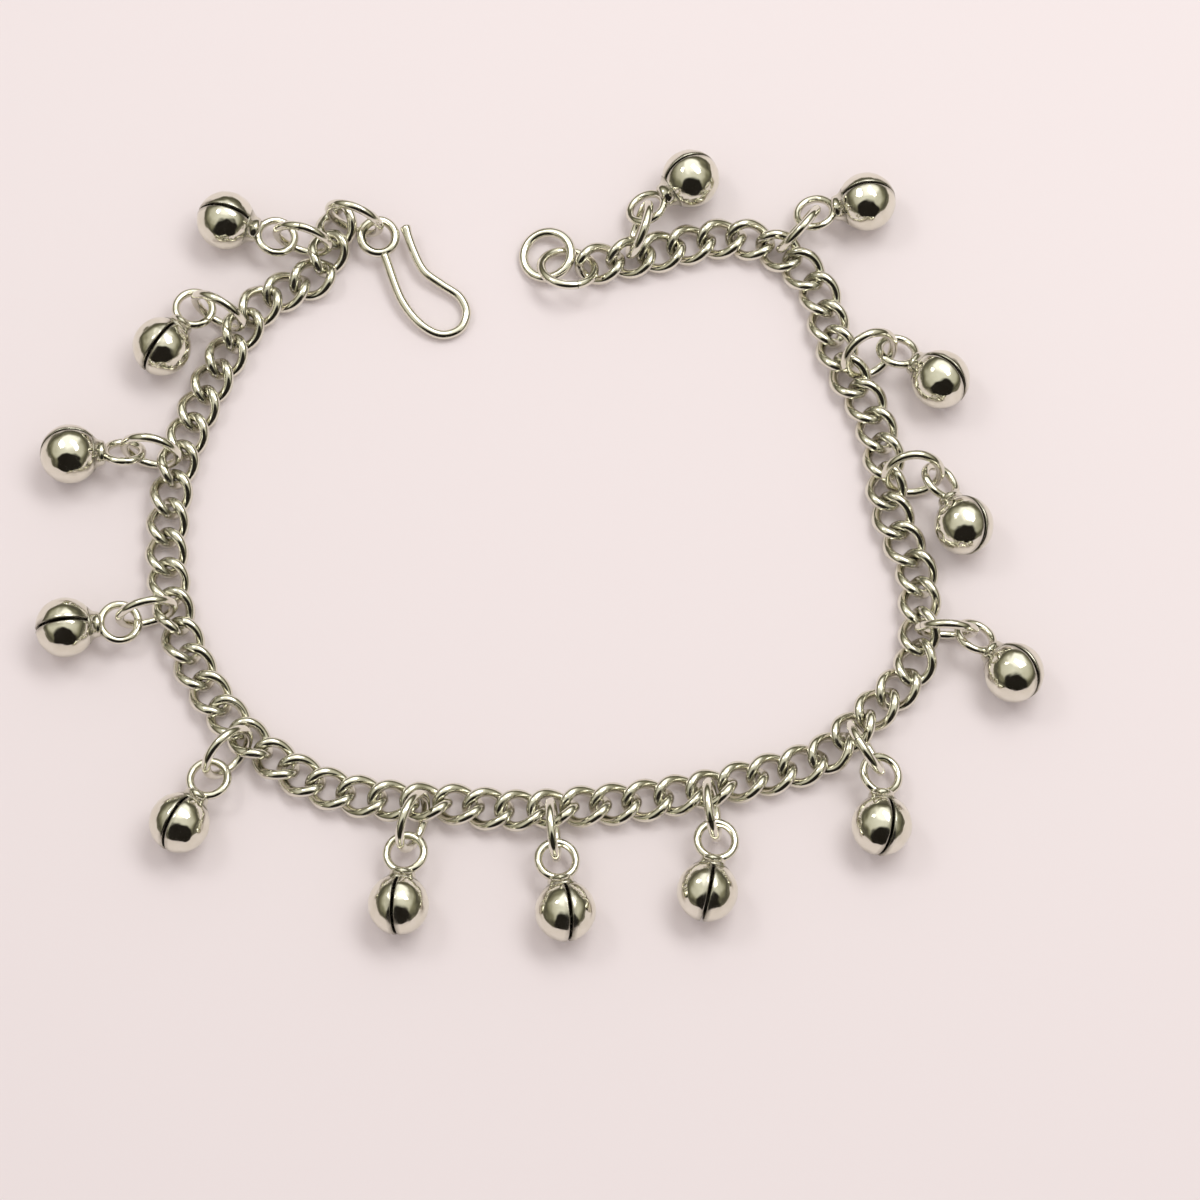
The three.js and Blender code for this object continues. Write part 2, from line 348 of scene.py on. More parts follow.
def tree_with_inputs(
    name: str, inputs: Mapping[str, str]
) -> tuple[bpy.types.NodeTree, bpy.types.Node, dict[str, str]]:
    """A new Geometry Nodes tree with a geometry in and out and named inputs.

    Args:
        name: The tree's name.
        inputs: Each input's socket type by its name.

    Returns:
        The tree, the node that gives its inputs, and each input's identifier by its name.
    """
    tree = bpy.data.node_groups.new(name, "GeometryNodeTree")
    tree.interface.new_socket("Geometry", in_out="INPUT", socket_type="NodeSocketGeometry")
    identifiers = {}
    for label, kind in inputs.items():
        item = tree.interface.new_socket(label, in_out="INPUT", socket_type=kind)
        identifiers[label] = item.identifier
    tree.interface.new_socket("Geometry", in_out="OUTPUT", socket_type="NodeSocketGeometry")
    return tree, tree.nodes.new("NodeGroupInput"), identifiers


def finish_tree(tree: bpy.types.NodeTree, geometry: bpy.types.NodeSocket, material: Any) -> None:
    """Ends a tree: its instances are made real, and its material is set."""
    real = add_node(tree, "GeometryNodeRealizeInstances", {"Geometry": geometry}).outputs[0]
    smooth = add_node(tree, "GeometryNodeSetShadeSmooth", {"Geometry": real}).outputs[0]
    dressed = add_node(
        tree, "GeometryNodeSetMaterial", {"Geometry": smooth, "Material": material}
    ).outputs[0]
    add_node(tree, "NodeGroupOutput", {"Geometry": dressed})


def grown_mesh(
    base: bpy.types.Mesh,
    tree: bpy.types.NodeTree,
    identifiers: Mapping[str, str],
    values: Mapping[str, Any],
) -> bpy.types.Mesh:
    """The mesh that a Geometry Nodes tree makes from a base mesh, as a plain mesh.

    Args:
        base: The mesh that the tree starts from. It is removed.
        tree: The tree.
        identifiers: Each input's identifier by its name.
        values: The inputs' values by name.

    Returns:
        The new mesh.
    """
    carrier = bpy.data.objects.new("carrier", base)
    bpy.context.scene.collection.objects.link(carrier)
    modifier = carrier.modifiers.new(tree.name, "NODES")
    modifier.node_group = tree
    for label, value in values.items():
        modifier[identifiers[label]] = value
    graph = bpy.context.evaluated_depsgraph_get()
    mesh = bpy.data.meshes.new_from_object(
        carrier.evaluated_get(graph), preserve_all_data_layers=True, depsgraph=graph
    )
    carrier.modifiers.remove(modifier)
    bpy.data.objects.remove(carrier)
    bpy.data.meshes.remove(base)
    return mesh


class WireRings:
    """Rings of round wire, made by one Geometry Nodes tree."""

    SIDES = 18
    STEPS = 84

    def __init__(self) -> None:
        """Builds the tree."""
        self.tree, given, self.identifiers = tree_with_inputs(
            "Wire ring",
            {
                "Radius": "NodeSocketFloat",
                "Wire": "NodeSocketFloat",
                "Seam": "NodeSocketFloat",
                "Butted": "NodeSocketBool",
                "Material": "NodeSocketMaterial",
            },
        )
        tree, out = self.tree, given.outputs
        whole = add_node(
            tree, "GeometryNodeCurvePrimitiveCircle", {"Resolution": self.STEPS, "Radius": out["Radius"]}
        ).outputs["Curve"]
        seam_angle = add_node(
            tree, "ShaderNodeMath", {0: out["Seam"], 1: out["Radius"]}, operation="DIVIDE"
        ).outputs[0]
        sweep = add_node(
            tree, "ShaderNodeMath", {0: 2 * math.pi, 1: seam_angle}, operation="SUBTRACT"
        ).outputs[0]
        split = add_node(
            tree,
            "GeometryNodeCurveArc",
            {"Resolution": self.STEPS, "Radius": out["Radius"], "Sweep Angle": sweep},
        ).outputs["Curve"]
        line = add_node(
            tree,
            "GeometryNodeSwitch",
            {"Switch": out["Butted"], "False": whole, "True": split},
            input_type="GEOMETRY",
        ).outputs["Output"]
        half_wire = add_node(
            tree, "ShaderNodeMath", {0: out["Wire"], 1: 0.5}, operation="MULTIPLY"
        ).outputs[0]
        section = add_node(
            tree, "GeometryNodeCurvePrimitiveCircle", {"Resolution": self.SIDES, "Radius": half_wire}
        ).outputs["Curve"]
        wire = add_node(
            tree,
            "GeometryNodeCurveToMesh",
            {"Curve": line, "Profile Curve": section, "Fill Caps": True},
        ).outputs["Mesh"]
        finish_tree(tree, wire, out["Material"])

    def mesh(
        self, radius: float, wire: float, joint: Joint, finish: bpy.types.Material, seam: float = 0.06
    ) -> bpy.types.Mesh:
        """A ring in its own XY plane.

        Args:
            radius: To the middle of the wire, in mm.
            wire: The wire's diameter, in mm.
            joint: How the ring is closed.
            finish: Its material.
            seam: The gap of a butted joint, in mm.

        Returns:
            The ring's mesh, in metres.
        """
        values = {
            "Radius": radius * MM,
            "Wire": wire * MM,
            "Seam": seam * MM,
            "Butted": joint is Joint.BUTTED,
            "Material": finish,
        }
        return grown_mesh(bpy.data.meshes.new("ring"), self.tree, self.identifiers, values)


def swept_wire(path: np.ndarray, radii: np.ndarray, sides: int) -> bpy.types.Mesh:
    """A round wire along a path, closed by a point at each end.

    Args:
        path: The wire's middle line, one row in mm for each step.
        radii: The wire's radius at each step, in mm.
        sides: How many faces go round it.

    Returns:
        The wire's mesh, in metres.
    """
    built = bmesh.new()
    ways = np.gradient(path, axis=0)
    ways /= np.linalg.norm(ways, axis=1)[:, None]
    side = np.cross(ways[0], (0.0, 0.0, 1.0))
    rings = []
    for point, way, radius in zip(path, ways, radii):
        side = side - way * np.dot(side, way)
        side /= np.linalg.norm(side)
        other = np.cross(way, side)
        angles = 2 * math.pi * np.arange(sides) / sides
        around = point + radius * (np.outer(np.cos(angles), side) + np.outer(np.sin(angles), other))
        rings.append([built.verts.new(Vector(spot) * MM) for spot in around])
    for ring, following in zip(rings, rings[1:]):
        for k in range(sides):
            n = (k + 1) % sides
            built.faces.new((ring[k], ring[n], following[n], following[k]))
    for ring, end in ((rings[0], path[0]), (rings[-1], path[-1])):
        middle = built.verts.new(Vector(end) * MM)
        for k in range(sides):
            built.faces.new((ring[k], ring[(k + 1) % sides], middle))
    bmesh.ops.recalc_face_normals(built, faces=built.faces)
    mesh = bpy.data.meshes.new("wire")
    built.to_mesh(mesh)
    built.free()
    return mesh


# ---- Chain ----


@dataclass(frozen=True)
class Charm:
    """How one charm hangs. Angles are in degrees, and headings are from +X.

    Attributes:
        link: Which link carries it, counted from 0 at the hook.
        ring: Its jump ring's heading.
        bell: Its bell's heading.
        lean: The ring's lean from upright.
        roll: The bell's roll about its own axis.
        slack: How far the bell has slid back from hanging taut, in mm.
    """

    link: int
    ring: float
    bell: float
    lean: float
    roll: float
    slack: float


CHARMS = (
    Charm(1, 165, 164, -5, 10, 0.5),
    Charm(5, 152, 235, -5, 0, 0.2),
    Charm(10, 170, 185, -10, 40, 0.5),
    Charm(15, 195, 188, -5, 0, 0.5),
    Charm(20, 226, 240, -15, 10, 0.3),
    Charm(26, -111, -96, -15, 10, 0.3),
    Charm(30, -85, -81, -5, -10, 0.6),
    Charm(35, -84, -100, -10, -5, 0.5),
    Charm(40, -60, -91, -15, -20, 0.5),
    Charm(44, -3, -47, -5, -35, 0.2),
    Charm(49, 4, -66, 25, -40, 0.4),
    Charm(53, 28, -38, 25, -25, 0.2),
    Charm(58, 50, 10, -15, -20, 0.5),
    Charm(63, 75, 33, -15, -30, 0.4),
)

CHAIN_ROUTE = (
    (-32, 44),
    (-33.4, 38.8),
    (-34.8, 35.6),
    (-37.4, 34.2),
    (-41.4, 31.9),
    (-44.3, 27.6),
    (-49, 18),
    (-51.8, 8),
    (-52, -3),
    (-49, -13.5),
    (-42.5, -22.8),
    (-33.5, -29),
    (-25, -31),
    (-18, -31.4),
    (-10.5, -32.2),
    (-3, -31.8),
    (5, -31),
    (12.5, -29.7),
    (20, -27.8),
    (26.5, -25.6),
    (30.5, -22),
    (34, -18.6),
    (37.4, -14.8),
    (38.3, -8),
    (38, -2.3),
    (36.2, 2),
    (34.8, 6.5),
    (34.4, 12),
    (32.8, 18),
    (30, 23),
    (28.3, 28),
    (26.8, 33.5),
    (23, 38),
    (17, 40.5),
    (11.5, 39.8),
    (6, 38.3),
    (-1.9, 36.8),
)
END_RING_MIDDLE = (-6.5, 38.4)


def route_shift() -> Vector:
    """Finds how far to move the chain's route to lie in the frame, from the end ring's place.

    Returns:
        The move, in mm, with the lift that rests round wire on the surface.
    """
    low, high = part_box("end_ring")
    middle = (low + high) / 2 / MM
    return Vector((middle.x - END_RING_MIDDLE[0], middle.y - END_RING_MIDDLE[1], FACET_LIFT))


@dataclass
class CurbChain:
    """Twisted curb links of round wire along the chain's way, rolled where they carry a charm."""

    pitch: float = 3.77
    half_length: float = 2.58
    half_width: float = 2.04
    wire: float = 1.24
    twist: float = math.radians(45)
    charm_roll: float = math.radians(20)
    first_roll: float = math.radians(-12)
    run_slack: float = 0.3
    divisions: int = 2000
    # How dark the link bends are painted: painted shade with some tarnishing.
    bend_shade_and_tarnish: float = 0.35
    line_steps: int = 48
    sides: int = 14
    shift: Vector = field(default_factory=route_shift)

    def __post_init__(self) -> None:
        """Measures the route and counts the links."""
        self.controls = np.array([(x, y, 0.0) for x, y in CHAIN_ROUTE])
        self.marks = np.linspace(0, 1, self.divisions + 1)
        points = spline_points(self.controls, self.marks)
        steps = np.linalg.norm(np.diff(points, axis=0), axis=1)
        self.lengths = np.concatenate([[0.0], np.cumsum(steps)])
        self.count = round(self.lengths[-1] / self.pitch)
        self.starts = [0] + [charm.link + 2 for charm in CHARMS[:-1]]

    def roll_of(self, i: int) -> float:
        """How far a link is rolled: fully at a charm, half as much beside it.

        Args:
            i: The link's number from the hook.

        Returns:
            The roll, in radians.
        """
        if i == 0:
            return self.first_roll
        distance = min(abs(charm.link - i) for charm in CHARMS)
        return self.charm_roll * max(0.0, 1 - distance / 2)

    def along_route(self, i: int) -> float:
        """A link's place along the route, even but for the slack between runs.

        Args:
            i: The link's number from the hook.

        Returns:
            The place, from 0 to 1.
        """
        length = self.count * self.pitch
        tight = (length + self.run_slack * (len(self.starts) - 1)) / self.count
        before = sum(start <= i for start in self.starts) - 1
        return ((i + 0.5) * tight - self.run_slack * before) / length

    def height_of(self, roll: float) -> float:
        """How far a link's middle lies above the lowest point of its wire's middle line.

        Args:
            roll: The link's roll, in radians.

        Returns:
            The height, in mm.
        """
        turn = 2 * math.pi * self.marks
        turned = -self.twist * np.cos(turn) - roll
        return -float(np.min(self.half_width * np.sin(turn) * np.sin(turned)))

    def link_place(self, i: int) -> Place:
        """Where link i lies: its own X runs along the chain, and its Y to the inner side.

        Args:
            i: The link's number from the hook.

        Returns:
            Its place, resting on the surface.
        """
        wanted = self.along_route(i) * self.lengths[-1]
        mark = np.interp(wanted, self.lengths, self.marks)
        here, before, after = spline_points(self.controls, np.array([mark, mark - 1e-4, mark + 1e-4]))
        along = Vector(after - before).normalized()
        inward = Vector((-along.y, along.x, 0.0))
        middle = Vector(here) + self.shift
        middle.z += self.wire / 2 + self.height_of(self.roll_of(i))
        return Place(middle, along, inward)

    def build(self, finish: bpy.types.Material) -> None:
        """Builds each run of links as one piece.

        Args:
            finish: The material of the links.
        """
        tree, identifiers = self.link_tree()
        values = {
            "Half length": self.half_length * MM,
            "Half width": self.half_width * MM,
            "Wire": self.wire * MM,
            "Twist": self.twist,
            "Material": finish,
        }
        for run, first in enumerate(self.starts):
            last = (self.starts + [self.count])[run + 1]
            base = bpy.data.meshes.new("run")
            places = [self.link_place(i) for i in range(first, last)]
            base.from_pydata([place.origin * MM for place in places], [], [])
            turns = base.attributes.new(TURN, "FLOAT_VECTOR", "POINT")
            for k, place in enumerate(places):
                rolled = place.matrix() @ Matrix.Rotation(-self.roll_of(first + k), 4, "X")
                turns.data[k].vector = rolled.to_euler()
            mesh = grown_mesh(base, tree, identifiers, values)
            finished_piece(f"chain_run_{run + 1:02d}", mesh, finish)

    def link_tree(self) -> tuple[bpy.types.NodeTree, dict[str, str]]:
        """The Geometry Nodes that set one twisted link on each point of a run.

        Returns:
            The tree, and each input's identifier by its name.
        """
        tree, given, identifiers = tree_with_inputs(
            "Curb links",
            {
                "Half length": "NodeSocketFloat",
                "Half width": "NodeSocketFloat",
                "Wire": "NodeSocketFloat",
                "Twist": "NodeSocketFloat",
                "Material": "NodeSocketMaterial",
            },
        )
        out = given.outputs

        def calculate(operation: str, first: Any, second: Any = 0.0) -> bpy.types.NodeSocket:
            """One sum on two numbers."""
            return add_node(tree, "ShaderNodeMath", {0: first, 1: second}, operation=operation).outputs[0]

        circle = add_node(
            tree, "GeometryNodeCurvePrimitiveCircle", {"Resolution": self.line_steps, "Radius": 1.0}
        ).outputs["Curve"]
        spot = add_node(
            tree, "ShaderNodeSeparateXYZ", {0: add_node(tree, "GeometryNodeInputPosition").outputs[0]}
        ).outputs
        turned = calculate("MULTIPLY", calculate("MULTIPLY", spot[0], out["Twist"]), -1.0)
        across = calculate("MULTIPLY", spot[1], out["Half width"])
        twisted = add_node(
            tree,
            "ShaderNodeCombineXYZ",
            {
                0: calculate("MULTIPLY", spot[0], out["Half length"]),
                1: calculate("MULTIPLY", across, calculate("COSINE", turned)),
                2: calculate("MULTIPLY", across, calculate("SINE", turned)),
            },
        ).outputs[0]
        # The bends, where the links hook into each other, are painted darker: painted shade there, with
        # some tarnishing.
        bend = calculate("POWER", calculate("ABSOLUTE", spot[0]), 3.0)
        marked = add_node(
            tree,
            "GeometryNodeStoreNamedAttribute",
            {"Geometry": circle, "Name": SHADE_AND_TARNISH, "Value": calculate("MULTIPLY", bend, self.bend_shade_and_tarnish)},
            data_type="FLOAT",
            domain="POINT",
        ).outputs[0]
        line = add_node(
            tree, "GeometryNodeSetPosition", {"Geometry": marked, "Position": twisted}
        ).outputs[0]
        section = add_node(
            tree,
            "GeometryNodeCurvePrimitiveCircle",
            {"Resolution": self.sides, "Radius": calculate("MULTIPLY", out["Wire"], 0.5)},
        ).outputs["Curve"]
        link = add_node(
            tree, "GeometryNodeCurveToMesh", {"Curve": line, "Profile Curve": section}
        ).outputs["Mesh"]
        turn = add_node(
            tree, "GeometryNodeInputNamedAttribute", {"Name": TURN}, data_type="FLOAT_VECTOR"
        ).outputs["Attribute"]
        rotation = add_node(tree, "FunctionNodeEulerToRotation", {"Euler": turn}).outputs["Rotation"]
        links = add_node(
            tree,
            "GeometryNodeInstanceOnPoints",
            {"Points": out["Geometry"], "Instance": link, "Rotation": rotation},
        ).outputs["Instances"]
        finish_tree(tree, links, out["Material"])
        return tree, identifiers


# ---- Jump rings ----


@dataclass(frozen=True)
class Hanging:
    """A jump ring that goes down through one link's opening.

    Attributes:
        link: Which link it goes through.
        heading: The ring's heading from +X, in degrees.
        lean: Its lean from upright, in degrees.
        along: How far along the link it goes through, from the link's middle, in mm.
        outward: How far to the link's outer side, in mm.
    """

    link: int
    heading: float
    lean: float
    along: float = 0.0
    outward: float = 0.6


HOOK_HANGING = Hanging(0, -20, 4, along=-0.7, outward=0.2)
END_HANGING = Hanging(64, 169, 60, along=0.8, outward=-0.1)
# Each ring's joint lies somewhere else round it, in degrees from the ring's heading.
FIRST_SEAM, SEAM_STEP = 40, 47
HOOK_RING_SEAM, END_RING_SEAM = 75, 120


@dataclass
class JumpRings:
    """Butted rings of round wire that carry the bells and join the fastenings."""

    chain: CurbChain
    rings: WireRings
    radius: float = 3.3
    wire: float = 1.1
    through_above: float = -0.1

    def place(self, hanging: Hanging) -> Place:
        """Where a ring stands.

        Args:
            hanging: The link that it goes through, and how it leans.

        Returns:
            Its place: its own X is its heading, and its Y runs up its slope.
        """
        link = self.chain.link_place(hanging.link)
        heading = level_way(hanging.heading)
        lean = math.radians(hanging.lean)
        slope = UP * math.cos(lean) + UP.cross(heading) * math.sin(lean)
        height = self.radius * math.cos(lean) + self.wire / 2 + self.chain.shift.z
        through = link.origin + link.x_way * hanging.along - link.y_way * hanging.outward
        through.z += self.through_above
        down = (height - through.z) / math.cos(lean)
        back = math.sqrt(self.radius**2 - down**2)
        return Place(through + heading * back + slope * down, heading, slope)

    def build(self, name: str, place: Place, finish: bpy.types.Material, seam_at: float) -> None:
        """Builds one ring.

        Args:
            name: The node that it stands for.
            place: Where it stands.
            finish: Its material.
            seam_at: Where round the ring its joint is, in degrees from its heading.
        """
        mesh = self.rings.mesh(self.radius, self.wire, Joint.BUTTED, finish)
        turned = Matrix.Rotation(math.radians(seam_at), 4, "Z")
        mesh.transform(place.matrix() @ turned)
        finished_piece(name, mesh, finish)


# ---- Bells ----


def lathe(profile: Sequence[tuple[float, float, float]], steps: int) -> bpy.types.Mesh:
    """A closed form turned about the X axis.

    Args:
        profile: Place along X, radius and painted shade with tarnishing for each step from one end to the
            other. The radius is 0 at both ends and nowhere else.
        steps: How many faces go round.

    Returns:
        The mesh, in metres.
    """
    built = bmesh.new()
    shade_and_tarnish = built.verts.layers.float.new(SHADE_AND_TARNISH)
    rings: list[list[bmesh.types.BMVert]] = []
    for along, radius, shade_and_tarnish_amount in profile:
        count = steps if radius > 0 else 1
        ring = []
        for k in range(count):
            angle = 2 * math.pi * k / steps
            spot = Vector((along, radius * math.cos(angle), radius * math.sin(angle))) * MM
            vertex = built.verts.new(spot)
            # Stores each step's painted shade and tarnishing.
            vertex[shade_and_tarnish] = shade_and_tarnish_amount
            ring.append(vertex)
        rings.append(ring)
    for ring, following in zip(rings, rings[1:]):
        for k in range(steps):
            n = (k + 1) % steps
            corners = [ring[k % len(ring)], ring[n % len(ring)]]
            corners += [following[n % len(following)], following[k % len(following)]]
            built.faces.new(list(dict.fromkeys(corners)))
    bmesh.ops.recalc_face_normals(built, faces=built.faces)
    mesh = bpy.data.meshes.new("lathe")
    built.to_mesh(mesh)
    built.free()
    return mesh


@dataclass
class JingleBell:
    """A slit ball of thin sheet, pressed as two cups, with a soldered neck and loop.

    The ball's middle is the origin, its loop points along -X and lies in the XY plane, and the slit
    lies in the XZ plane.
    """

    rings: WireRings
    radius: float = 3.6
    wall: float = 0.35
    slit: float = 0.3
    loop_radius: float = 2.25
    loop_wire: float = 1.0
    reach: float = 6.5
    in_loop_height: float = 2.6
    linked_gap: float = 0.3
    dent: float = 0.08
    dents_across: float = 2.4
    steps: int = 56
    outer_steps: int = 22
    lip_steps: int = 6
    inner_steps: int = 9
    collar_steps: int = 10
    collar_radius: float = 1.55
    foot_radius: float = 2.3

    def place(self, charm: Charm, ring: Place, jump: JumpRings) -> Place:
        """Where a bell lies: on its ball, with the far side of its ring through its loop.

        Args:
            charm: How it hangs.
            ring: Where its jump ring stands.
            jump: The jump rings' sizes.

        Returns:
            Its place: its own X points from the loop to the ball.
        """
        lift = jump.chain.shift.z
        down = (ring.origin.z - lift - self.in_loop_height) / math.cos(math.radians(charm.lean))
        forward = math.sqrt(jump.radius**2 - down**2)
        held = ring.origin + ring.x_way * forward - ring.y_way * down
        clear = jump.wire / 2 + self.loop_wire / 2 + self.linked_gap + charm.slack
        to_ball = self.reach + self.loop_radius - clear
        pitch = math.asin((self.radius - self.in_loop_height) / to_ball)
        axis = level_way(charm.bell) * math.cos(pitch) + UP * math.sin(pitch)
        across = UP.cross(axis).normalized()
        across.rotate(Matrix.Rotation(math.radians(charm.roll), 3, axis))
        return Place(held + axis * to_ball, axis, across)

    def cup_profile(self) -> list[tuple[float, float, float]]:
        """Draws one cup of the ball.

        Returns:
            Place, radius and wear, from the outer pole over the rolled lip to the inner pole.
        """
        lip = self.wall / 2
        edge = self.slit / 2 + lip
        inner = self.radius - self.wall
        profile = [(self.radius, 0.0, 0.0)]
        last = math.acos(edge / self.radius)
        for k in range(1, self.outer_steps + 1):
            angle = last * k / self.outer_steps
            # The last steps before the slit are painted darker, as shade with some tarnishing; so are the
            # lip and inside below.
            shade_and_tarnish_amount = 0.6 * max(0.0, 1 - (self.outer_steps - k) / 2)
            profile.append((self.radius * math.cos(angle), self.radius * math.sin(angle), shade_and_tarnish_amount))
        lip_middle = math.sqrt(self.radius**2 - edge**2) - lip
        for k in range(1, self.lip_steps):
            angle = math.pi / 2 + math.pi * k / self.lip_steps
            profile.append((edge + lip * math.cos(angle), lip_middle + lip * math.sin(angle), 0.8))
        last = math.acos(edge / inner)
        for k in range(self.inner_steps, 0, -1):
            angle = last * k / self.inner_steps
            profile.append((inner * math.cos(angle), inner * math.sin(angle), 1.0))
        profile.append((inner, 0.0, 1.0))
        return profile

    def neck_profile(self) -> list[tuple[float, float, float]]:
        """Draws the soldered collar.

        Returns:
            Place, radius and wear, from inside the loop's wire to the foot that flares onto the ball.
        """
        top = -(self.reach - self.loop_radius + 0.1)
        foot = -math.sqrt(self.radius**2 - self.foot_radius**2)
        profile = [(top, 0.0, 0.2), (top, 0.7, 0.2), (top + 0.05, 1.15, 0.2), (top + 0.2, 1.42, 0.2)]
        start = top + 0.45
        for k in range(self.collar_steps + 1):
            t = k / self.collar_steps
            radius = self.collar_radius + (self.foot_radius - self.collar_radius) * t**2
            # Darker towards the foot, as painted shade where it meets the ball, with some tarnishing.
            profile.append((start + (foot - start) * t, radius, 0.1 + 0.7 * t**3))
        profile += [(foot + 0.3, 1.9, 0.6), (foot + 0.3, 0.8, 1.0), (foot + 0.3, 0.0, 1.0)]
        return profile

    def build(self, name: str, place: Place, number: int, finish: bpy.types.Material) -> None:
        """Builds one bell.

        Args:
            name: The node that it stands for.
            place: Where it lies.
            number: Which bell it is, so that each has dents of its own.
            finish: Its material.
        """
        to_y = Matrix.Rotation(math.radians(90), 4, "Z")
        cups = [lathe(self.cup_profile(), self.steps) for _ in range(2)]
        cups[0].transform(to_y)
        cups[1].transform(to_y.inverted())
        ball = joined(cups)
        for vertex in ball.vertices:
            out = vertex.co.normalized()
            ripple = noise.noise(out * self.dents_across + Vector((number * 7.3, 0.0, 0.0)))
            vertex.co -= out * abs(ripple) * self.dent * MM
        neck = lathe(self.neck_profile(), 36)
        loop = self.rings.mesh(self.loop_radius, self.loop_wire, Joint.SOLDERED, finish)
        loop.transform(Matrix.Translation((-self.reach * MM, 0.0, 0.0)))
        whole = joined([ball, neck, loop])
        whole.transform(place.matrix())
        finished_piece(name, whole, finish)


# ---- Fastenings ----


@dataclass
class WireHook:
    """A hook bent from round wire, with a soldered eye at one end and a small bulb at its tip."""

    chain: CurbChain
    rings: WireRings
    wire: float = 1.15
    eye_radius: float = 2.1
    tip_radius: float = 0.75
    slope: float = 0.11
    eye: tuple[float, float] = (-27.3, 40.4)
    bend: tuple[float, float] = (-17.6, 28.3)
    route: tuple[tuple[float, float], ...] = (
        (-26.6, 38.3),
        (-24.1, 31.9),
        (-21.4, 28.9),
        (-19.2, 28.1),
        (-17.2, 28.9),
        (-16.4, 30.9),
        (-17.2, 32.9),
        (-19.5, 34.5),
        (-21.6, 36.1),
        (-23, 38.8),
        (-24.1, 42),
    )

    def lifted(self, spot: tuple[float, float]) -> Vector:
        """Lifts a point into the hook's plane, which rises from the bend to the eye and the tip.

        Args:
            spot: The point seen from above, in mm.

        Returns:
            The point in the frame, in mm.
        """
        uphill = (Vector(self.eye) - Vector(self.bend)).normalized()
        climbed = uphill.dot(Vector(spot) - Vector(self.bend))
        return Vector((*spot, self.wire / 2 + self.slope * climbed)) + self.chain.shift

    def build(self, finish: bpy.types.Material) -> None:
        """Builds the hook.

        Args:
            finish: Its material.
        """
        controls = np.array([self.lifted(spot) for spot in self.route])
        path = spline_points(controls, np.linspace(0, 1, 150))
        from_tip = np.linalg.norm(path - path[-1], axis=1)
        bulb = (self.tip_radius - self.wire / 2) * np.clip(1 - from_tip / 1.3, 0, 1)
        radii = self.wire / 2 + bulb
        rounded = np.sqrt(np.clip(1 - (1 - np.clip(from_tip / 0.45, 0, 1)) ** 2, 0.02, 1))
        shank = swept_wire(path, radii * rounded, 20)
        ring = self.rings.mesh(self.eye_radius, self.wire, Joint.SOLDERED, finish)
        uphill = (Vector(self.eye) - Vector(self.bend)).normalized()
        way = Vector((uphill.x, uphill.y, self.slope)).normalized()
        across = UP.cross(way).normalized()
        ring.transform(Place(self.lifted(self.eye), way, across).matrix())
        finished_piece("hook", joined([shank, ring]), finish)


@dataclass
class EndRing:
    """The soldered ring that the hook closes into, one side of it raised by its jump ring."""

    chain: CurbChain
    rings: WireRings
    radius: float = 3.0
    wire: float = 1.2
    tilt: float = math.radians(12)

    def build(self, finish: bpy.types.Material) -> None:
        """Builds the ring.

        Args:
            finish: Its material.
        """
        height = self.radius * math.sin(self.tilt) + self.wire / 2
        middle = Vector((*END_RING_MIDDLE, height)) + self.chain.shift
        rising = Vector((math.cos(self.tilt), 0.0, math.sin(self.tilt)))
        mesh = self.rings.mesh(self.radius, self.wire, Joint.SOLDERED, finish)
        mesh.transform(Place(middle, rising, Vector((0.0, 1.0, 0.0))).matrix())
        finished_piece("end_ring", mesh, finish)


# ---- Studio ----


